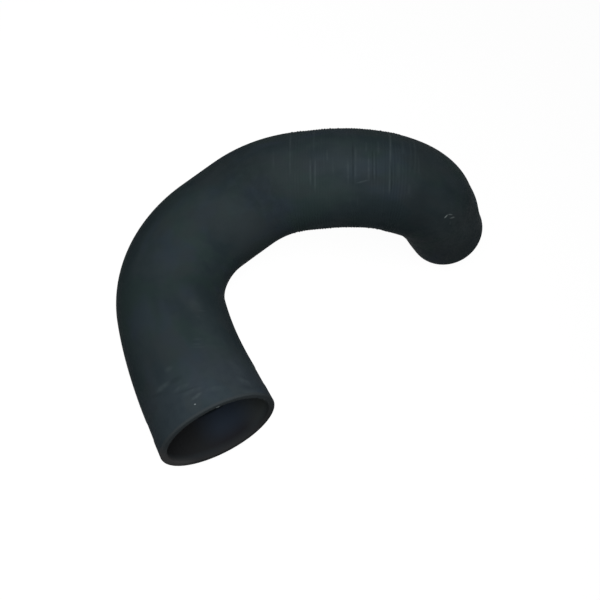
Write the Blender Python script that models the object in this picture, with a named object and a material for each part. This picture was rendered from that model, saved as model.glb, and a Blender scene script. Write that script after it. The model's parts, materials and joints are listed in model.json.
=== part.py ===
"""A moulded rubber air intake hose: an inlet leg, a tight bend, a soft bend where fine ribs start, and a last bend that
turns the narrower outlet leg out of the plane of the first two. Metres, +Z up, lying as it comes to rest."""

import math
from collections import namedtuple

import bmesh
import bpy
from mathutils import Matrix, Quaternion, Vector

# The tube
INLET_BORE = 0.070
OUTLET_BORE = 0.060
WALL = 0.0045
RIM_ROUNDING = 0.0010

# The centreline, from the inlet's face to the outlet's
INLET_LEG = 0.033
SWEEP_RADIUS = 0.300
SWEEP_ANGLE = math.radians(12)
FIRST_BEND_RADIUS = 0.062
FIRST_BEND_ANGLE = math.radians(74)
SHOULDER_LENGTH = 0.029
SOFT_BEND_RADIUS = 0.0845
SOFT_BEND_ANGLE = math.radians(33)
SOFT_BEND_TURN = math.radians(12)
NECK_LENGTH = 0.0125
LAST_BEND_RADIUS = 0.0895
LAST_BEND_ANGLE = math.radians(74)
LAST_BEND_TURN = math.radians(92)
OUTLET_LEG = 0.0785

# The fine ribs, which start part of the way round the soft bend
RIB_START = 0.031
RIB_PITCH = 0.0018
RIB_COUNT = 51
RIB_HEIGHT = 0.0004

# How finely the round forms are cut into flats
SIDES = 28
BEND_STEP = math.radians(7)
RIM_STEPS = 2
SMOOTH_UNDER = math.radians(35)
BORE_OVERRUN = 0.010
WELD_DISTANCE = 0.00001

RUBBER_COLOUR = (0.024, 0.033, 0.037, 1.0)
RUBBER_ROUGHNESS = 0.62

# Roughly which way is down in the inlet leg's own frame: its heading is +Y, and the first bend turns it towards +X
ROUGHLY_DOWN = Vector((0.0, 0.1, -1.0))

# A stretch of the centreline: straight for a length, or a bend by an angle about a radius. The turn swings the bend's
# plane round the heading, from the plane of the bend before.
Stretch = namedtuple("Stretch", "name length radius angle turn", defaults=(0.0, 0.0, 0.0, 0.0))

CENTRELINE = (
    Stretch("inlet_leg", length=INLET_LEG),
    Stretch("sweep", radius=SWEEP_RADIUS, angle=SWEEP_ANGLE),
    Stretch("first_bend", radius=FIRST_BEND_RADIUS, angle=FIRST_BEND_ANGLE),
    Stretch("shoulder", length=SHOULDER_LENGTH),
    Stretch("soft_bend", radius=SOFT_BEND_RADIUS, angle=SOFT_BEND_ANGLE, turn=SOFT_BEND_TURN),
    Stretch("neck", length=NECK_LENGTH),
    Stretch("last_bend", radius=LAST_BEND_RADIUS, angle=LAST_BEND_ANGLE, turn=LAST_BEND_TURN),
    Stretch("outlet_leg", length=OUTLET_LEG),
)

# Where a stretch lies: the distance of its start from the inlet's face, and its point, heading and the direction
# towards the bend's centre there
Laid = namedtuple("Laid", "stretch start point heading inward")


def run_of(stretch):
    """A stretch's length along the centreline."""
    return stretch.length or stretch.radius * stretch.angle


def walk(laid, distance):
    """The centreline's point, heading and inward direction at a distance from the inlet's face."""
    along = distance - laid.start
    if not laid.stretch.radius:
        return laid.point + laid.heading * along, laid.heading, laid.inward
    centre = laid.point + laid.inward * laid.stretch.radius
    bend = Quaternion(laid.heading.cross(laid.inward), along / laid.stretch.radius)
    return centre + bend @ (laid.point - centre), bend @ laid.heading, bend @ laid.inward


def lay_out(centreline):
    """Each stretch where it lies, in the inlet leg's own frame."""
    start, point, heading, inward = 0.0, Vector((0, 0, 0)), Vector((0, 1, 0)), Vector((1, 0, 0))
    found = []
    for stretch in centreline:
        laid = Laid(stretch, start, point, heading, Quaternion(heading, stretch.turn) @ inward)
        found.append(laid)
        start += run_of(stretch)
        point, heading, inward = walk(laid, start)
    return found


ROUTE = lay_out(CENTRELINE)
LENGTH = ROUTE[-1].start + run_of(ROUTE[-1].stretch)
RIBS_FROM = RIB_START + next(laid.start for laid in ROUTE if laid.stretch.name == "soft_bend")
RIBS_TO = RIBS_FROM + RIB_COUNT * RIB_PITCH


def place(distance):
    """The centreline's point, heading and inward direction, also a little past either end."""
    passed = [laid for laid in ROUTE if laid.start <= distance]
    return walk(passed[-1] if passed else ROUTE[0], distance)


def bore_radius(distance):
    """The bore narrows evenly from the inlet to the outlet."""
    return (INLET_BORE + (OUTLET_BORE - INLET_BORE) * distance / LENGTH) / 2


def skin_radius(distance):
    return bore_radius(distance) + WALL


def plain_distances():
    """Where the smooth tube has a ring: at the start of each stretch, and evenly round each bend."""
    for laid in ROUTE:
        steps = max(1, math.ceil(laid.stretch.angle / BEND_STEP))
        for step in range(steps):
            yield laid.start + run_of(laid.stretch) * step / steps


def rim(radius_at, sign):
    """The rings of both rounded rims as (distance, radius). The sign is 1 for the skin and -1 for the bore."""
    rings = []
    for step in range(RIM_STEPS + 1):
        angle = math.pi / 2 * step / RIM_STEPS
        depth = RIM_ROUNDING * (1 - math.cos(angle))
        inset = RIM_ROUNDING * (1 - math.sin(angle))
        rings.append((depth, radius_at(0) - sign * inset))
        rings.append((LENGTH - depth, radius_at(LENGTH) - sign * inset))
    return rings


def clear_of(distances, low, high, gap):
    """The distances that keep a gap to the stretch from low to high."""
    return [distance for distance in distances if not low - gap < distance < high + gap]


def skin_rings():
    """The outside of the wall as (distance, radius) from the inlet to the outlet, with the ribs."""
    plain = [distance for distance in plain_distances() if RIM_ROUNDING < distance < LENGTH - RIM_ROUNDING]
    rings = [(distance, skin_radius(distance)) for distance in clear_of(plain, RIBS_FROM, RIBS_TO, RIB_PITCH / 2)]
    for half in range(2 * RIB_COUNT + 1):
        distance = RIBS_FROM + half * RIB_PITCH / 2
        rings.append((distance, skin_radius(distance) + RIB_HEIGHT * (half % 2)))
    return sorted(rings + rim(skin_radius, 1))


def bore_rings():
    """The bore as (distance, radius), run past both faces so that it cuts them clean."""
    plain = [distance for distance in plain_distances() if RIM_ROUNDING < distance < LENGTH - RIM_ROUNDING]
    ends = [
        (-BORE_OVERRUN, bore_radius(0) + RIM_ROUNDING),
        (LENGTH + BORE_OVERRUN, bore_radius(LENGTH) + RIM_ROUNDING),
    ]
    return sorted(ends + [(distance, bore_radius(distance)) for distance in plain] + rim(bore_radius, -1))


def new_collection(name):
    collection = bpy.data.collections.new(name)
    bpy.context.scene.collection.children.link(collection)
    return collection


def clear_scene():
    for old in list(bpy.data.objects):
        bpy.data.objects.remove(old)


def guide_curve(name, rings, collection):
    """The centreline as a curve whose points carry the tube's radius. The bevel depth is one metre, so that a point's
    radius factor is the radius there in metres."""
    curve = bpy.data.curves.new(name, "CURVE")
    curve.dimensions = "3D"
    curve.bevel_depth = 1.0
    curve.bevel_resolution = SIDES // 2 - 2
    curve.use_fill_caps = True
    spline = curve.splines.new("POLY")
    spline.points.add(len(rings) - 1)
    for point, (distance, radius) in zip(spline.points, rings):
        point.co = (*place(distance)[0], 1.0)
        point.radius = radius
    guide = bpy.data.objects.new(name, curve)
    collection.objects.link(guide)
    return guide


def solid_tube(name, rings, collection):
    """A closed solid along the centreline, made from the curve with its caps welded on."""
    guide = guide_curve(name + "_guide", rings, collection)
    mesh = bpy.data.meshes.new_from_object(guide.evaluated_get(bpy.context.evaluated_depsgraph_get()))
    shape = bmesh.new()
    shape.from_mesh(mesh)
    bmesh.ops.remove_doubles(shape, verts=shape.verts, dist=WELD_DISTANCE)
    bmesh.ops.recalc_face_normals(shape, faces=shape.faces)
    shape.to_mesh(mesh)
    shape.free()
    solid = bpy.data.objects.new(name, mesh)
    solid.matrix_world = guide.matrix_world
    collection.objects.link(solid)
    bpy.data.objects.remove(guide)
    return solid


def black_rubber():
    material = bpy.data.materials.new("black_rubber")
    material.use_nodes = True
    shader = material.node_tree.nodes["Principled BSDF"]
    shader.inputs["Base Color"].default_value = RUBBER_COLOUR
    shader.inputs["Roughness"].default_value = RUBBER_ROUGHNESS
    shader.inputs["Metallic"].default_value = 0.0
    return material


def centre_of_mass(shape):
    """From the tetrahedra between the origin and each of the closed mesh's triangles."""
    volume, moment = 0.0, Vector((0, 0, 0))
    for loops in shape.calc_loop_triangles():
        a, b, c = (loop.vert.co for loop in loops)
        share = a.dot(b.cross(c)) / 6
        volume += share
        moment += share * (a + b + c) / 4
    return moment / volume


def stands_on(face, centre):
    """Whether the centre of mass is straight over a face of the hull, so that the hose rests on that face."""
    foot = centre - face.normal * (centre - face.verts[0].co).dot(face.normal)
    turns = [
        (loop.link_loop_next.vert.co - loop.vert.co).cross(foot - loop.vert.co).dot(face.normal)
        for loop in face.loops
    ]
    return min(turns) >= 0


def resting_side(solid):
    """The direction, in the inlet leg's own frame, that points down once the hose has come to rest on a floor."""
    shape = bmesh.new()
    shape.from_object(solid, bpy.context.evaluated_depsgraph_get())
    centre = centre_of_mass(shape)
    hull = bmesh.new()
    for vertex in shape.verts:
        hull.verts.new(vertex.co)
    bmesh.ops.convex_hull(hull, input=hull.verts)
    bmesh.ops.recalc_face_normals(hull, faces=hull.faces)
    sides = [face.normal.copy() for face in hull.faces if stands_on(face, centre)]
    shape.free()
    hull.free()
    return max(sides, key=ROUGHLY_DOWN.dot)


def lay_on_floor(carrier, solid):
    """Turns the hose onto the side that it rests on, with its inlet towards -Y, and centres it on the floor."""
    onto_floor = resting_side(solid).rotation_difference(Vector((0, 0, -1)))
    inlet_faces = onto_floor @ -place(0)[1]
    swing = Quaternion((0, 0, 1), -math.pi / 2 - math.atan2(inlet_faces.y, inlet_faces.x))
    turned = (swing @ onto_floor).to_matrix().to_4x4()
    evaluated = solid.evaluated_get(bpy.context.evaluated_depsgraph_get())
    x, y, z = zip(*(turned @ vertex.co for vertex in evaluated.data.vertices))
    middle = Vector(((min(x) + max(x)) / 2, (min(y) + max(y)) / 2, min(z)))
    carrier.matrix_world = Matrix.Translation(-middle) @ turned


def build():
    clear_scene()
    parts = new_collection("air_intake_hose")
    cutters = new_collection("cutters")
    carrier = bpy.data.objects.new("inlet_frame", None)
    parts.objects.link(carrier)

    hose = solid_tube("hose", skin_rings(), parts)
    hose.parent = carrier
    hose.data.materials.append(black_rubber())
    hose.data.shade_smooth()
    hose.data.set_sharp_from_angle(angle=SMOOTH_UNDER)

    bore = solid_tube("bore_cutter", bore_rings(), cutters)
    bore.parent = carrier
    bore.hide_render = True
    bore.display_type = "WIRE"

    cut = hose.modifiers.new("bore", "BOOLEAN")
    cut.operation = "DIFFERENCE"
    cut.object = bore
    bpy.context.view_layer.update()
    lay_on_floor(carrier, hose)


build()
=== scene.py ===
"""The air intake hose as it looks: satin black rubber with fine ribs round its middle, worn ridges, scuffs,
the marks of a clamp, and plain cut rims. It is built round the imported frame, in metres, on a plain pale
floor."""

import json
import math
from collections import namedtuple

import bpy
import numpy as np
from mathutils import Euler, Matrix, Vector


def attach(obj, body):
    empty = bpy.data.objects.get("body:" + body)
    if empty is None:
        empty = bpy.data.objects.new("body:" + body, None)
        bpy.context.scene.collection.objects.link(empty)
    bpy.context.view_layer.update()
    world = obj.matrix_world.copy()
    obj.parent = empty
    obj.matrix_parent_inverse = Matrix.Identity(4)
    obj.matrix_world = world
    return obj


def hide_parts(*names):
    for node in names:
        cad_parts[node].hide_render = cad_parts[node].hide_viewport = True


# The tube, as the part's source has it
INLET_BORE = 0.070
OUTLET_BORE = 0.060
WALL = 0.0045
RIM_ROUNDING = 0.0010

# A stretch of the centreline: straight for a length, or a bend by an angle about a radius. The turn swings
# the bend's plane round the heading, from the plane of the bend before.
Stretch = namedtuple("Stretch", "length radius angle turn", defaults=(0.0, 0.0, 0.0, 0.0))

INLET_LEG = Stretch(length=0.033)
SWEEP = Stretch(radius=0.300, angle=math.radians(12))
FIRST_BEND = Stretch(radius=0.062, angle=math.radians(74))
SHOULDER = Stretch(length=0.029)
SOFT_BEND = Stretch(radius=0.0845, angle=math.radians(33), turn=math.radians(12))
NECK = Stretch(length=0.0125)
LAST_BEND = Stretch(radius=0.0895, angle=math.radians(74), turn=math.radians(92))
OUTLET_LEG = Stretch(length=0.0785)
CENTRELINE = (INLET_LEG, SWEEP, FIRST_BEND, SHOULDER, SOFT_BEND, NECK, LAST_BEND, OUTLET_LEG)

# The fine ribs: where they start in the soft bend, their pitch and number, and how far they fade in and out
# at both ends
RIB_START = 0.031
RIB_PITCH = 0.0020
RIB_COUNT = 51
RIB_FADE = 0.016

# Their height, which is least on the side that faces the quiet angle: what they gain elsewhere, and the
# range of 1 - cos of the angle from there over which they gain it. Each rib's own level is drawn from the
# least level up, and wavers by a share in waves of a few turns round the hose.
RIB_HEIGHT = 0.00025
RIB_EXTRA_HEIGHT = 0.00040
RIB_QUIET_ANGLE = math.radians(-65)
RIB_TALLER_RANGE = (0.15, 0.70)
RIB_LEAST_LEVEL = 0.25
RIB_WAVER = 0.25
RIB_WAVE_TURNS = (2, 3, 4)
RIB_SEED = 7

# The ribs lie in parallel planes square to one direction, given in the inlet's own frame, as a mould's tool
# marks do, so that their planes lean more and more as the hose turns away. The rings of the surface ease
# into those planes before the ribs and out of them behind. Each ring's lean is found in steps, each a share
# of the gap that is left.
RIB_ACROSS = (0.840, -0.510, -0.185)
LEAN_FROM = 0.205
LEAN_FULL_FROM = 0.256
LEAN_FULL_TO = 0.290
LEAN_TO = 0.400
LEAN_TRIES = 10
LEAN_STEP = 0.8

# The shallow band that a clamp left near the inlet
CLAMP_FROM = 0.012
CLAMP_TO = 0.028
CLAMP_DEPTH = 0.00025
CLAMP_EDGE = 0.002

# The skin's slow unevenness, as waves round the hose, of whole turns from the first number up to below the
# second, and along it, in radians a metre. They and the swellings stop short of the rims.
WAVES = 7
WAVE_HEIGHT = 0.00006
WAVE_TURNS = (1, 5)
WAVE_RATES = (20, 90)
WAVE_SEED = 11
RIM_CLEARANCE = 0.010

# Where the rubber has swollen and sunk round the last bend: the distance in metres from the inlet's face,
# the angle in degrees, how far it reaches along the hose in metres and round it in degrees, and its height
# in metres
SWELLS = (
    (0.345, 42, 0.026, 30, 0.0016),
    (0.408, 72, 0.022, 28, -0.0017),
    (0.413, -88, 0.022, 35, 0.0016),
)

# How fine the visible surface is
SIDES = 144
RIB_STEPS = 6
SKIN_STEP = 0.002
BORE_STEP = 0.006
RIM_STEPS = 5

# The section's places, kept on the surface for the material
ON_SKIN = 0
ON_RIM = 1
IN_BORE = 2

# Lines along the ribs: the distances in metres at which the rib's plane crosses the centreline at the
# line's two ends, the angles in degrees of those ends, and how strongly it shows, above nought for rubbed
# pale and below it for dark. They and the marks below were picked in the photograph, and most of
# them were carried over from its pixels to the hose.
LINE_WIDTH = 0.0006
LINE_FADE = 0.3
LINES = (
    (0.2366, 0.2362, -97, -66, 0.30),
    (0.2468, 0.2477, -127, -86, 0.60),
    (0.2477, 0.2477, -94, -55, 0.35),
    (0.2634, 0.2644, -138, -73, 0.40),
    (0.2618, 0.2621, -79, -43, 0.60),
    (0.2633, 0.2631, -76, -43, -0.30),
    (0.2653, 0.2650, -79, -35, 0.60),
    (0.2734, 0.2737, -85, -70, 0.45),
    (0.2773, 0.2778, -76, -51, 0.25),
    (0.2878, 0.2882, -78, -40, 0.50),
    (0.2913, 0.2917, -100, -42, -0.60),
    (0.2935, 0.2930, -92, -40, 0.45),
    (0.3012, 0.3007, -97, -79, 0.40),
    (0.3023, 0.3024, -79, -46, 0.55),
    (0.3052, 0.3049, -90, -44, -0.55),
    (0.3060, 0.3062, -85, -46, 0.45),
    (0.3072, 0.3075, -88, -45, -0.45),
    (0.3093, 0.3091, -101, -77, 0.40),
    (0.3191, 0.3161, -140, -60, 1.00),
    (0.3161, 0.3166, -72, -32, 0.70),
    (0.3173, 0.3178, -69, -33, -0.50),
    (0.3217, 0.3214, -76, -49, 0.30),
    (0.3257, 0.3250, -107, -81, 0.50),
    (0.3313, 0.3284, -118, -53, 0.30),
    (0.3350, 0.3309, -128, -52, 0.50),
    (0.3344, 0.3342, -90, -56, 0.35),
    (0.3289, 0.3293, -50, -36, 0.40),
    (0.2950, 0.2950, -33, -18, 0.25),
    (0.2892, 0.2895, -32, -19, 0.20),
)

# A mark on the skin: a soft stroke between two places, each the distance in metres from the inlet's face
# and the angle round the hose in degrees, with its width in metres and how strongly it shows. It is full
# over the core's share of its reach, on a skin that is rolled out flat about the mark radius.
Mark = namedtuple("Mark", "start stop width strength")
MARK_RADIUS = 0.0365
MARK_CORE = 0.25

SCUFFS = (
    Mark((0.0803, -50.0), (0.0722, -46.9), 0.0090, 0.20),
    Mark((0.0716, -48.2), (0.0710, -37.6), 0.0033, 0.32),
    Mark((0.0666, -49.8), (0.0660, -48.0), 0.0026, 0.29),
    Mark((0.0630, -41.4), (0.0508, -25.3), 0.0164, 0.09),
    Mark((0.0487, -62.0), (0.0472, -50.4), 0.0029, 0.25),
    Mark((0.0456, -65.4), (0.0431, -55.6), 0.0025, 0.25),
    Mark((0.0436, -67.5), (0.0403, -53.2), 0.0025, 0.20),
    Mark((0.0368, -94.8), (0.0363, -91.3), 0.0049, 0.22),
    Mark((0.0295, -112.7), (0.0285, -98.1), 0.0051, 0.36),
    Mark((0.0217, -97.1), (0.0208, -83.1), 0.0043, 0.29),
    Mark((0.0160, -92.2), (0.0145, -72.7), 0.0038, 0.22),
    Mark((0.0104, -85.3), (0.0115, -76.5), 0.0033, 0.54),
    Mark((0.0113, -70.1), (0.0089, -57.5), 0.0058, 0.22),
    Mark((0.0257, -38.5), (0.0166, -32.9), 0.0091, 0.18),
    Mark((0.0131, -38.2), (0.0068, -29.1), 0.0070, 0.32),
    Mark((0.0019, -45.6), (0.0010, -23.4), 0.0058, 0.18),
    Mark((0.2867, -45.7), (0.2943, -50.0), 0.0016, 0.55),
    Mark((0.2880, -66.0), (0.2930, -66.0), 0.0260, 0.15),
    Mark((0.3600, -25.0), (0.4100, -20.0), 0.0620, 0.36),
    Mark((0.0350, -45.0), (0.0700, -42.0), 0.0280, 0.16),
    Mark((0.2554, 13.3), (0.2826, 10.3), 0.0093, 0.20),
)
SMEARS = (
    Mark((0.0279, -98.5), (0.0273, -85.0), 0.0049, 0.43),
    Mark((0.0194, -98.6), (0.0162, -74.5), 0.0020, 0.36),
    Mark((0.0069, -44.0), (0.0051, -21.1), 0.0046, 0.29),
    Mark((0.0473, -64.6), (0.0455, -57.3), 0.0019, 0.36),
    Mark((0.0303, -124.0), (0.0242, -102.3), 0.0036, 0.29),
    Mark((0.2080, -120.0), (0.2250, -10.0), 0.0600, 0.55),
    Mark((0.2750, -25.0), (0.3150, 0.0), 0.0450, 0.35),
    Mark((0.3180, -110.0), (0.3300, -10.0), 0.0300, 0.35),
)
SPECKS = (
    Mark((0.0070, -85.4), (0.0067, -84.8), 0.0010, 0.50),
    Mark((0.3554, -23.3), (0.3557, -27.4), 0.0022, 0.50),
    Mark((0.3553, -28.5), (0.3613, -31.5), 0.0015, 0.22),
    Mark((0.3608, -25.9), (0.3651, -30.7), 0.0022, 0.22),
    Mark((0.3637, -23.2), (0.3672, -19.3), 0.0016, 0.06),
)

# A speck of grit on the bore's edge at the inlet's rim: its angle in degrees and its radius in metres
RIM_SPECK_ANGLE = -68.0
RIM_SPECK_RADIUS = 0.0018

# The rubber's colours: deep and plain tones that drift into each other, a greener, a bluer and a greyer
# tone, and the tones of rubbed rubber, of dark smears and of grit
RUBBER_DEEP = (0.0120, 0.0180, 0.0205, 1.0)
RUBBER_PLAIN = (0.0170, 0.0235, 0.0260, 1.0)
RUBBER_GREEN = (0.0145, 0.0245, 0.0225, 1.0)
RUBBER_BLUE = (0.0165, 0.0225, 0.0310, 1.0)
RUBBER_GREY = (0.0170, 0.0210, 0.0230, 1.0)
RUBBER_RUBBED = (0.0580, 0.0740, 0.0775, 1.0)
RUBBER_SMEARED = (0.0060, 0.0090, 0.0100, 1.0)
GRIT = (0.2600, 0.3000, 0.3000, 1.0)

# The bore's painted light and shade: painted shade just inside a mouth and painted light further in,
# painted shade on its outer side and painted light on its inner side, and painted shade on what lies deeper
BORE_PAINTED_SHADE_AT_MOUTH = (0.0110, 0.0095, 0.0095, 1.0)
BORE_PAINTED_LIGHT_FURTHER_IN = (0.0195, 0.0265, 0.0385, 1.0)
BORE_PAINTED_SHADE_OUTER_SIDE = (0.0145, 0.0155, 0.0165, 1.0)
BORE_PAINTED_LIGHT_INNER_SIDE = (0.0340, 0.0390, 0.0390, 1.0)
BORE_PAINTED_SHADE_DEEPER = (0.0060, 0.0090, 0.0110, 1.0)

# The rims' colours: the cut face's own tone with painted light above and painted shade below, and a painted
# highlight on the outer side
RIM_PAINTED_LIGHT_ABOVE = (0.0225, 0.0275, 0.0300, 1.0)
RIM_PAINTED_SHADE_BELOW = (0.0185, 0.0195, 0.0205, 1.0)
RIM_PAINTED_HIGHLIGHT = (0.0400, 0.0400, 0.0410, 1.0)

# Where the painted light and shade of the bore and the rims change, in metres: by the depth from the nearer
# mouth, and by how far a place lies towards the first bend's inner side or downwards, as the inlet's own
# section has them
BORE_SHADE_TO_LIGHT_DEPTHS = (0.0, 0.020)
BORE_LIGHT_TO_SHADE_DEPTHS = (0.0285, 0.0310)
BORE_SHADE_SIDE_SPAN = (-0.026, -0.004)
BORE_LIGHT_SIDE_SPAN = (0.004, 0.032)
RIM_LIGHT_TO_SHADE_SPAN = (-0.020, 0.030)
RIM_HIGHLIGHT_SPAN = (-0.036, -0.026)

# A noise over the skin: its scale across and along the hose, how rich it is, the range of it that counts,
# and its most
Drift = namedtuple("Drift", "scale detail roughness low high most", defaults=(1.0,))
CLOUDS = Drift((40, 40, 28), 3.0, 0.55, 0.35, 0.65)
GREENER = Drift((31, 31, 22), 3.0, 0.55, 0.46, 0.60, 0.45)
BLUER = Drift((37, 37, 25), 2.0, 0.55, 0.50, 0.66, 0.5)
GREYER = Drift((44, 44, 30), 2.0, 0.40, 0.50, 0.60, 0.4)
STREAKS = Drift((60, 60, 300), 2.0, 0.55, 0.45, 0.70)
GRAIN = Drift((520, 520, 520), 4.0, 0.55, 0.35, 0.65)
PATCHES = Drift((160, 160, 160), 3.0, 0.55, 0.35, 0.60)
PATCHES_LEAST = 0.55

# How much bluer and more worn the skin is near the inlet, and over what distance that ends
INLET_BLUER = 0.4
INLET_BLUER_RANGE = (0.010, 0.060)
INLET_WORN = 0.10
INLET_WORN_END = 0.045

# How strongly ridges, lines and marks take the rubbed colour, and lines and marks the smeared one
RIDGE_WORN = 0.06
LINE_WORN = 0.30
SCUFF_WORN = 0.45
LINE_SMEARED = 0.8
SMEAR_SMEARED = 0.6

# The surface's finish: its roughness over the grain, how much smoother it is where it is worn, and its
# pebbled bump
ROUGHNESS = (0.58, 0.74)
WORN_SMOOTHER = 0.3
SPECULAR_LEVEL = 0.005
PATCHES_BUMP = 0.8
BUMP_STRENGTH = 0.07
BUMP_HEIGHT = 0.0003

# The camera, at the photograph's viewing angle
CAMERA_AT = (-0.24094, -0.13374, 0.43500)
CAMERA_ANGLES = (25.039, -19.390, -24.973)
CAMERA_LENS = 35.354
CAMERA_CLIP = 0.01
SENSOR_WIDTH = 36.0

# The floor: its own colour, how far the camera sees it as white instead, and how strong that white is
FLOOR_SIZE = 6.0
FLOOR_COLOUR = (0.42, 0.42, 0.42, 1.0)
FLOOR_ROUGHNESS = 0.9
FLOOR_SEEN_WHITE = 0.85
FLOOR_WHITE_STRENGTH = 1.13

# The world's white, as light on the hose and as seen behind it
WHITE = (1.0, 1.0, 1.0, 1.0)
WORLD_LIGHT = 0.15
WORLD_SEEN = 1.0

# The lamp, just above the camera and turned with it
SOFTBOX_SIZE = 0.35
SOFTBOX_POWER = 3.3
SOFTBOX_OFFSET = (0.03, 0.09, 0.0)


def run_of(stretch):
    """A stretch's length along the centreline."""
    return stretch.length or stretch.radius * stretch.angle


STARTS = [sum(run_of(stretch) for stretch in CENTRELINE[:place]) for place in range(len(CENTRELINE))]
LENGTH = STARTS[-1] + run_of(OUTLET_LEG)
RIBS_FROM = STARTS[CENTRELINE.index(SOFT_BEND)] + RIB_START
RIBS_TO = RIBS_FROM + RIB_COUNT * RIB_PITCH


def bore_radius(distance):
    """The bore narrows evenly from the inlet to the outlet."""
    return (INLET_BORE + (OUTLET_BORE - INLET_BORE) * distance / LENGTH) / 2


def turned(vector, axis, angle):
    """A vector, turned about an axis that is square to it, by each of the angles."""
    return np.cos(angle)[..., None] * vector + np.sin(angle)[..., None] * np.cross(axis, vector)


def along(stretch, distance, point, heading, inward):
    """Points, headings and inward directions at distances from the start of a stretch."""
    if not stretch.radius:
        still = np.ones(distance.shape + (1,))
        return point + distance[..., None] * heading, still * heading, still * inward
    bend = np.cross(heading, inward)
    angle = distance / stretch.radius
    inwards = turned(inward, bend, angle)
    return point + stretch.radius * (inward - inwards), turned(heading, bend, angle), inwards


def centreline(distance):
    """Points, and two directions square to the heading that don't twist along the hose, in the inlet's own
    frame: its heading there is +Y, and the first bend turns it towards +X."""
    shape = distance.shape + (3,)
    points, firsts, seconds = np.zeros(shape), np.zeros(shape), np.zeros(shape)
    point, heading, inward = np.zeros(3), np.array([0.0, 1.0, 0.0]), np.array([1.0, 0.0, 0.0])
    total_turn = 0.0
    for start, stretch in zip(STARTS, CENTRELINE):
        inward = math.cos(stretch.turn) * inward + math.sin(stretch.turn) * np.cross(heading, inward)
        total_turn += stretch.turn
        here = distance >= start
        points[here], headings, inwards = along(stretch, distance[here] - start, point, heading, inward)
        acrosses = np.cross(headings, inwards)
        firsts[here] = math.cos(total_turn) * inwards - math.sin(total_turn) * acrosses
        seconds[here] = math.sin(total_turn) * inwards + math.cos(total_turn) * acrosses
        run = np.array([run_of(stretch)])
        point, heading, inward = (found[0] for found in along(stretch, run, point, heading, inward))
    return points, firsts, seconds


def mount_centre(mount, radius):
    """The centre of a rim, whose mount is the highest point of the middle of its face."""
    axis = Vector(mount["axis"])
    rise = Vector((0, 0, 1)) - axis * axis.z
    return Vector(mount["pos_m"]) - rise.normalized() * radius


def resting_frame(record):
    """The matrix from the inlet's own frame to the row's, found from the two rims."""
    mounts = {mount["name"]: mount for mount in record["mounts"]}
    inlet = mount_centre(mounts["inlet_face"], bore_radius(0) + WALL / 2)
    outlet = mount_centre(mounts["outlet_face"], bore_radius(LENGTH) + WALL / 2)
    there = Matrix.Identity(3)
    here = Matrix.Identity(3)
    own_outlet = Vector(centreline(np.array([LENGTH]))[0][0])
    for matrix, heading, span in (
        (there, Vector((0, 1, 0)), own_outlet),
        (here, -Vector(mounts["inlet_face"]["axis"]), outlet - inlet),
    ):
        aside = (span - heading * span.dot(heading)).normalized()
        matrix.col[0], matrix.col[1], matrix.col[2] = aside, heading, aside.cross(heading)
    return Matrix.Translation(inlet) @ (here @ there.transposed()).to_4x4()


def rim_steps(at, inwards, radius, sign):
    """A rounded edge from the tube's side to its face as (distance, radius): inwards is 1 at the inlet and
    -1 at the outlet, and the sign is 1 for the skin and -1 for the bore."""
    for step in range(RIM_STEPS + 1):
        angle = math.pi / 2 * step / RIM_STEPS
        depth = RIM_ROUNDING * (1 - math.sin(angle))
        yield at + inwards * depth, radius - sign * RIM_ROUNDING * (1 - math.cos(angle))


def section():
    """The rings of the wall's closed section as (distance, radius, place): along the skin to the outlet,
    over its rim, and back along the bore and over the inlet's rim."""
    skin = np.arange(SKIN_STEP, LENGTH - SKIN_STEP / 2, SKIN_STEP)
    ribs = RIBS_FROM + np.arange(RIB_COUNT * RIB_STEPS + 1) * RIB_PITCH / RIB_STEPS
    clear = (skin < RIBS_FROM - SKIN_STEP / 2) | (skin > RIBS_TO + SKIN_STEP / 2)
    skin = np.sort(np.concatenate([skin[clear], ribs]))
    bore = np.arange(BORE_STEP, LENGTH - BORE_STEP / 2, BORE_STEP)
    inlet_skin = list(rim_steps(0, 1, bore_radius(0) + WALL, 1))
    outlet_skin = list(rim_steps(LENGTH, -1, bore_radius(LENGTH) + WALL, 1))
    inlet_bore = list(rim_steps(0, 1, bore_radius(0), -1))
    outlet_bore = list(rim_steps(LENGTH, -1, bore_radius(LENGTH), -1))
    rings = [(distance, bore_radius(distance) + WALL, ON_SKIN) for distance in skin]
    rings += [(*ring, ON_RIM) for ring in outlet_skin + outlet_bore[::-1]]
    rings += [(distance, bore_radius(distance), IN_BORE) for distance in bore[::-1]]
    rings += [(*ring, ON_RIM) for ring in inlet_bore + inlet_skin[::-1]]
    return np.array(rings)


def ramp(value, low, high):
    """From 0 at low to 1 at high, smoothly."""
    share = np.clip((value - low) / (high - low), 0, 1)
    return share * share * (3 - 2 * share)


def degrees_from(angle, middle):
    """Angles given in radians, as degrees from a middle given in degrees, from -180 up to 180."""
    return (np.degrees(angle) - middle + 180) % 360 - 180


def leaning(distance, angle):
    """The distances at which rings meet the skin: square to the hose, but leaning into the ribs' planes
    near the ribs."""
    share = ramp(distance, LEAN_FROM, LEAN_FULL_FROM) * (1 - ramp(distance, LEAN_FULL_TO, LEAN_TO))
    centres, firsts, seconds = centreline(distance)
    plane = share[..., None] * np.array(RIB_ACROSS) + (1 - share[..., None]) * np.cross(firsts, seconds)
    found = distance.copy()
    for _ in range(LEAN_TRIES):
        points, firsts, seconds = centreline(found)
        around = np.cos(angle)[..., None] * firsts + np.sin(angle)[..., None] * seconds
        points = points + (bore_radius(found) + WALL)[..., None] * around
        gap = ((points - centres) * plane).sum(-1)
        found = found - LEAN_STEP * gap / (np.cross(firsts, seconds) * plane).sum(-1)
    return found


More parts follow.
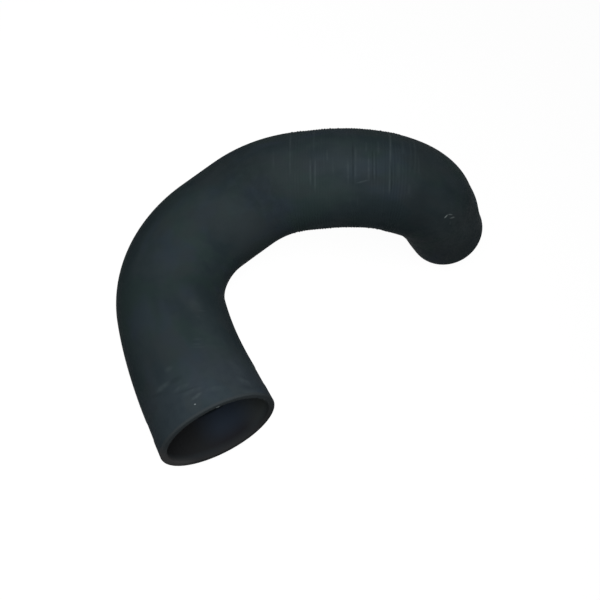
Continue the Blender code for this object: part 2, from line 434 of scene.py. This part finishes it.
def ridges(plane, angle):
    """How high the ribs stand at each place, from 0 in a groove to 1 on a full crest, by the distance at
    which the rib's plane crosses the centreline. They are uneven from rib to rib and round the hose, and
    fade at both ends."""
    draw = np.random.default_rng(RIB_SEED)
    level = draw.uniform(RIB_LEAST_LEVEL, 1.0, RIB_COUNT + 2)
    phases = draw.uniform(0, 2 * np.pi, (len(RIB_WAVE_TURNS), RIB_COUNT + 2))
    at = (plane - RIBS_FROM) / RIB_PITCH
    rib = np.clip(at.astype(int), 0, RIB_COUNT + 1)
    crest = 0.5 - 0.5 * np.cos(2 * np.pi * at)
    inside = ramp(plane, RIBS_FROM, RIBS_FROM + RIB_FADE) * (1 - ramp(plane, RIBS_TO - RIB_FADE, RIBS_TO))
    waves = [np.cos(turns * angle + phase[rib]) for turns, phase in zip(RIB_WAVE_TURNS, phases)]
    waver = sum(waves) / len(waves)
    return inside * crest * level[rib] * (1 - RIB_WAVER + RIB_WAVER * waver)


def rib_height(angle):
    """How high a full crest stands, in metres."""
    return RIB_HEIGHT + RIB_EXTRA_HEIGHT * ramp(1 - np.cos(angle - RIB_QUIET_ANGLE), *RIB_TALLER_RANGE)


def unevenness(distance, angle):
    """The skin's slow waves, its swellings and the clamp's shallow band, as a height in metres."""
    draw = np.random.default_rng(WAVE_SEED)
    height = np.zeros_like(distance)
    for _ in range(WAVES):
        round_it, along_it = draw.integers(*WAVE_TURNS), draw.uniform(*WAVE_RATES)
        height += WAVE_HEIGHT * np.cos(round_it * angle + along_it * distance + draw.uniform(0, 2 * np.pi))
    for swell_at, swell_angle, reach, reach_round, swell in SWELLS:
        beside = degrees_from(angle, swell_angle)
        height += swell * np.exp(-(((distance - swell_at) / reach) ** 2) - (beside / reach_round) ** 2)
    into = ramp(distance, CLAMP_FROM, CLAMP_FROM + CLAMP_EDGE)
    out_of = 1 - ramp(distance, CLAMP_TO - CLAMP_EDGE, CLAMP_TO)
    clear_of_rims = ramp(distance, 0, RIM_CLEARANCE) * ramp(LENGTH - distance, 0, RIM_CLEARANCE)
    return height * clear_of_rims - CLAMP_DEPTH * into * out_of


def lines(plane, angle):
    """The pale and the dark lines along the ribs, by the distance at which their planes cross the
    centreline."""
    found = np.zeros_like(plane)
    degrees = degrees_from(angle, 0)
    for start, stop, low, high, strength in LINES:
        at = start + (stop - start) * np.clip((degrees - low) / (high - low), 0, 1)
        line = np.exp(-(((plane - at) / LINE_WIDTH) ** 2))
        fade = LINE_FADE * (high - low)
        found += strength * line * ramp(degrees, low, low + fade) * (1 - ramp(degrees, high - fade, high))
    return found


def hose_mesh(name):
    """The wall's whole surface in the inlet's own frame. For the material each point keeps its place on the
    hose laid straight, how far it is up a rib, the line that it lies on, and whether it is on a rim or in
    the bore."""
    rings = section()
    plane, radius, where = (rings[:, column, None] for column in range(3))
    angle = np.linspace(0, 2 * np.pi, SIDES, endpoint=False)[None]
    plane, radius, where, angle = np.broadcast_arrays(plane, radius, where, angle)
    on_skin = where == ON_SKIN
    distance = np.where(on_skin, leaning(plane, angle), plane)
    radius = np.where(on_skin, bore_radius(distance) + WALL, radius)
    ridge = ridges(plane, angle) * on_skin
    radius = radius + rib_height(angle) * ridge + unevenness(distance, angle) * on_skin
    points, firsts, seconds = centreline(distance)
    around = np.cos(angle)[..., None] * firsts + np.sin(angle)[..., None] * seconds
    points = points + radius[..., None] * around

    count = len(rings)
    ring, side = np.meshgrid(np.arange(count), np.arange(SIDES), indexing="ij")
    after, beside = (ring + 1) % count, (side + 1) % SIDES
    corners = ((ring, side), (after, side), (after, beside), (ring, beside))
    faces = np.stack([down * SIDES + across for down, across in corners], -1)
    mesh = bpy.data.meshes.new(name)
    mesh.from_pydata(points.reshape(-1, 3), [], faces.reshape(-1, 4))
    straight = np.stack([radius * np.cos(angle), radius * np.sin(angle), distance], -1)
    attribute = mesh.attributes.new("straight", "FLOAT_VECTOR", "POINT")
    attribute.data.foreach_set("vector", straight.astype(np.float32).ravel())
    line = lines(plane, angle) * on_skin
    on_rim, in_bore = where == ON_RIM, where == IN_BORE
    for label, values in (("ridge", ridge), ("line", line), ("rim", on_rim), ("bore", in_bore)):
        attribute = mesh.attributes.new(label, "FLOAT", "POINT")
        attribute.data.foreach_set("value", values.astype(np.float32).ravel())
    mesh.shade_smooth()
    return mesh


class Nodes:
    """Adds shader nodes to a material, with each input given as a number, a colour or another node's
    output."""

    def __init__(self, material):
        material.use_nodes = True
        self.tree = material.node_tree

    def __call__(self, kind, inputs=None, output=0, **settings):
        node = self.tree.nodes.new("ShaderNode" + kind)
        for name, value in settings.items():
            setattr(node, name, value)
        for key, value in (inputs or {}).items():
            if isinstance(value, bpy.types.NodeSocket):
                self.tree.links.new(value, node.inputs[key])
            else:
                node.inputs[key].default_value = value
        return node.outputs[output]

    def math(self, operation, *values):
        return self("Math", dict(enumerate(values)), operation=operation)

    def noise(self, place, drift):
        stretched = self("VectorMath", {0: place, 1: drift.scale}, operation="MULTIPLY")
        inputs = {"Vector": stretched, "Scale": 1.0, "Detail": drift.detail, "Roughness": drift.roughness}
        return self("TexNoise", inputs)

    def spread(self, value, low, high, to_low=0.0, to_high=1.0):
        """Maps a value from one range to another, held at both ends."""
        inputs = {"Value": value, "From Min": low, "From Max": high, "To Min": to_low, "To Max": to_high}
        return self("MapRange", inputs, interpolation_type="SMOOTHSTEP")

    def drifting(self, place, drift):
        return self.spread(self.noise(place, drift), drift.low, drift.high, 0.0, drift.most)

    def blend(self, share, first, second):
        """Mixes two colours, through the places that colours have among the node's inputs and outputs."""
        return self("Mix", {0: share, 6: first, 7: second}, 2, data_type="RGBA")

    def vector(self, name):
        return self("Attribute", output="Vector", attribute_name=name)

    def value(self, name):
        return self("Attribute", output="Fac", attribute_name=name)


def unrolled(place):
    """A mark's place on the skin rolled out flat."""
    distance, degrees = place
    return Vector((MARK_RADIUS * math.radians(degrees), distance, 0))


def mark_mask(nodes, flat, mark):
    """The mark's strength in its middle, and nought outside it."""
    start, stop = unrolled(mark.start), unrolled(mark.stop)
    stroke = stop - start
    turn = (0, 0, math.atan2(stroke.y, stroke.x))
    size = (stroke.length / 2 + mark.width / 2, mark.width / 2, 1)
    inputs = {"Vector": flat, "Location": (start + stop) / 2, "Rotation": turn, "Scale": size}
    within = nodes("Mapping", inputs, vector_type="TEXTURE")
    reach = nodes("VectorMath", {0: within}, "Value", operation="LENGTH")
    return nodes.spread(reach, MARK_CORE, 1.0, mark.strength, 0.0)


def marks_mask(nodes, flat, marks):
    """The strongest of the marks at each place."""
    masks = [mark_mask(nodes, flat, mark) for mark in marks]
    found = masks[0]
    for mask in masks[1:]:
        found = nodes.math("MAXIMUM", found, mask)
    return found


def skin_colour(nodes, place, distance):
    """The drifting tones of the clean rubber."""
    colour = nodes.blend(nodes.drifting(place, CLOUDS), RUBBER_DEEP, RUBBER_PLAIN)
    colour = nodes.blend(nodes.drifting(place, GREENER), colour, RUBBER_GREEN)
    near_inlet = nodes.spread(distance, *INLET_BLUER_RANGE, INLET_BLUER, 0.0)
    colour = nodes.blend(nodes.math("ADD", nodes.drifting(place, BLUER), near_inlet), colour, RUBBER_BLUE)
    return nodes.blend(nodes.drifting(place, GREYER), colour, RUBBER_GREY)


def bore_painted_light_and_shade(nodes, inwards, distance):
    """Painted light and shade in the bore, by its depth from the nearer mouth: painted shade just inside,
    painted light further in and painted shade deeper still; painted shade on its outer side and painted
    light on its inner side.
    """
    depth = nodes.math("MINIMUM", distance, nodes.math("SUBTRACT", LENGTH, distance))
    colour = nodes.blend(nodes.spread(depth, *BORE_SHADE_TO_LIGHT_DEPTHS), BORE_PAINTED_SHADE_AT_MOUTH, BORE_PAINTED_LIGHT_FURTHER_IN)
    colour = nodes.blend(nodes.spread(inwards, *BORE_SHADE_SIDE_SPAN, 1.0, 0.0), colour, BORE_PAINTED_SHADE_OUTER_SIDE)
    colour = nodes.blend(nodes.spread(inwards, *BORE_LIGHT_SIDE_SPAN), colour, BORE_PAINTED_LIGHT_INNER_SIDE)
    return nodes.blend(nodes.spread(depth, *BORE_LIGHT_TO_SHADE_DEPTHS), colour, BORE_PAINTED_SHADE_DEEPER)


# The rims' cut-face tone, with painted light above, painted shade below and a painted highlight on the
# outer side
def rim_tone_and_painted_light(nodes, inwards, downwards):
    colour = nodes.blend(nodes.spread(downwards, *RIM_LIGHT_TO_SHADE_SPAN), RIM_PAINTED_LIGHT_ABOVE, RIM_PAINTED_SHADE_BELOW)
    return nodes.blend(nodes.spread(inwards, *RIM_HIGHLIGHT_SPAN, 1.0, 0.0), colour, RIM_PAINTED_HIGHLIGHT)


def rim_speck(nodes, place):
    """One at the speck on the bore's edge, and nought away from it."""
    angle = math.radians(RIM_SPECK_ANGLE)
    on_edge = Vector((math.cos(angle), math.sin(angle), 0)) * (bore_radius(0) + RIM_ROUNDING / 2)
    away = nodes("VectorMath", {0: place, 1: on_edge}, "Value", operation="DISTANCE")
    return nodes.spread(away, 0.0, RIM_SPECK_RADIUS, 1.0, 0.0)


def rubber_material():
    material = bpy.data.materials.new("black_rubber")
    nodes = Nodes(material)
    place = nodes.vector("straight")
    inwards, downwards, distance = (nodes("SeparateXYZ", {0: place}, axis) for axis in "XYZ")
    around = nodes.math("MULTIPLY", nodes.math("ARCTAN2", downwards, inwards), MARK_RADIUS)
    flat = nodes("CombineXYZ", {0: around, 1: distance})
    line = nodes.value("line")
    grain = nodes.noise(place, GRAIN)
    patches = nodes.noise(place, PATCHES)
    broken = nodes.spread(patches, PATCHES.low, PATCHES.high, PATCHES_LEAST)

    ridge = nodes.math("MULTIPLY", nodes.value("ridge"), nodes.drifting(place, STREAKS))
    worn = nodes.math("MULTIPLY", ridge, RIDGE_WORN)
    worn = nodes.math("ADD", worn, nodes.math("MULTIPLY", nodes.math("MAXIMUM", line, 0.0), LINE_WORN))
    worn = nodes.math("ADD", worn, nodes.spread(distance, CLAMP_FROM, INLET_WORN_END, INLET_WORN, 0.0))
    worn = nodes.math("ADD", worn, nodes.math("MULTIPLY", marks_mask(nodes, flat, SCUFFS), SCUFF_WORN))
    worn = nodes.math("MULTIPLY", worn, broken)
    smeared = nodes.math("MULTIPLY", marks_mask(nodes, flat, SMEARS), SMEAR_SMEARED)
    dark_line = nodes.math("MULTIPLY", nodes.math("MINIMUM", line, 0.0), -LINE_SMEARED)
    smeared = nodes.math("ADD", dark_line, smeared)

    colour = nodes.blend(worn, skin_colour(nodes, place, distance), RUBBER_RUBBED)
    colour = nodes.blend(nodes.math("MULTIPLY", smeared, broken), colour, RUBBER_SMEARED)
    # The rims take their own tone with painted light, painted shade and a painted highlight
    colour = nodes.blend(nodes.value("rim"), colour, rim_tone_and_painted_light(nodes, inwards, downwards))
    # The bore takes its painted light and shade
    colour = nodes.blend(nodes.value("bore"), colour, bore_painted_light_and_shade(nodes, inwards, distance))
    colour = nodes.blend(marks_mask(nodes, flat, SPECKS), colour, GRIT)
    colour = nodes.blend(rim_speck(nodes, place), colour, GRIT)

    shader = nodes.tree.nodes["Principled BSDF"]
    rough = nodes.spread(grain, GRAIN.low, GRAIN.high, *ROUGHNESS)
    rough = nodes.math("SUBTRACT", rough, nodes.math("MULTIPLY", worn, WORN_SMOOTHER))
    pebbled = nodes.math("ADD", grain, nodes.math("MULTIPLY", patches, PATCHES_BUMP))
    bump = nodes("Bump", {"Height": pebbled, "Strength": BUMP_STRENGTH, "Distance": BUMP_HEIGHT})
    nodes.tree.links.new(colour, shader.inputs["Base Color"])
    nodes.tree.links.new(rough, shader.inputs["Roughness"])
    nodes.tree.links.new(bump, shader.inputs["Normal"])
    shader.inputs["Specular IOR Level"].default_value = SPECULAR_LEVEL
    return material


def hose(record):
    """The whole hose, in place of the frame's plain solid."""
    mesh = hose_mesh("hose_surface")
    mesh.transform(resting_frame(record))
    piece = bpy.data.objects.new("hose_surface", mesh)
    bpy.context.scene.collection.objects.link(piece)
    mesh.materials.append(rubber_material())
    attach(piece, "root")
    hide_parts("hose")


def seen_straight(nodes):
    """One for the camera, and for what mirrors or lets through, and nought for the light on the hose."""
    seen, mirrored, let_through = (
        nodes("LightPath", output=f"Is {ray} Ray") for ray in ("Camera", "Glossy", "Transmission")
    )
    return nodes.math("MAXIMUM", nodes.math("MAXIMUM", seen, mirrored), let_through)


def floor_material():
    """A plain floor that the camera sees as nearly white, with the hose's shadow left on it."""
    material = bpy.data.materials.new("floor")
    nodes = Nodes(material)
    shader = nodes.tree.nodes["Principled BSDF"]
    shader.inputs["Base Color"].default_value = FLOOR_COLOUR
    shader.inputs["Roughness"].default_value = FLOOR_ROUGHNESS
    shader.inputs["Specular IOR Level"].default_value = 0.0
    glow = nodes("Emission", {"Color": WHITE, "Strength": FLOOR_WHITE_STRENGTH})
    share = nodes.math("MULTIPLY", seen_straight(nodes), FLOOR_SEEN_WHITE)
    mixed = nodes("MixShader", {0: share, 1: shader.outputs[0], 2: glow})
    nodes.tree.links.new(mixed, nodes.tree.nodes["Material Output"].inputs["Surface"])
    return material


def studio():
    bpy.ops.mesh.primitive_plane_add(size=FLOOR_SIZE)
    floor = bpy.context.object
    floor.name = "floor"
    floor.data.materials.append(floor_material())

    world = bpy.data.worlds.new("studio")
    bpy.context.scene.world = world
    nodes = Nodes(world)
    background = nodes.tree.nodes["Background"]
    background.inputs["Color"].default_value = WHITE
    strength = nodes.spread(seen_straight(nodes), 0.0, 1.0, WORLD_LIGHT, WORLD_SEEN)
    nodes.tree.links.new(strength, background.inputs["Strength"])

    light = bpy.data.lights.new("softbox", "AREA")
    light.shape = "SQUARE"
    light.size = SOFTBOX_SIZE
    light.energy = SOFTBOX_POWER
    lamp = bpy.data.objects.new("softbox", light)
    lamp.rotation_euler = camera_turn()
    lamp.location = Vector(CAMERA_AT) + camera_turn().to_matrix() @ Vector(SOFTBOX_OFFSET)
    bpy.context.scene.collection.objects.link(lamp)


def camera_turn():
    return Euler([math.radians(angle) for angle in CAMERA_ANGLES])


def camera():
    data = bpy.data.cameras.new("camera")
    data.lens = CAMERA_LENS
    data.sensor_width = SENSOR_WIDTH
    data.clip_start = CAMERA_CLIP
    eye = bpy.data.objects.new("camera", data)
    eye.location = CAMERA_AT
    eye.rotation_euler = camera_turn()
    bpy.context.scene.collection.objects.link(eye)
    bpy.context.scene.camera = eye


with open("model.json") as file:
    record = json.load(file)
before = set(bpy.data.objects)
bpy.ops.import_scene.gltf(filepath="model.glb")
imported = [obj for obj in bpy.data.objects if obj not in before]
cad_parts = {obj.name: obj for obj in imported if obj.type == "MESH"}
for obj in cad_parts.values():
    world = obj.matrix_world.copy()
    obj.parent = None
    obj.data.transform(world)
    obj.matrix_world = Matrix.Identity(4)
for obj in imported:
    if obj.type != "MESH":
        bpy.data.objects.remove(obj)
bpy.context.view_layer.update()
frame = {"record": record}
camera()
studio()
hose(frame["record"])
bpy.context.scene.view_settings.view_transform = "Standard"
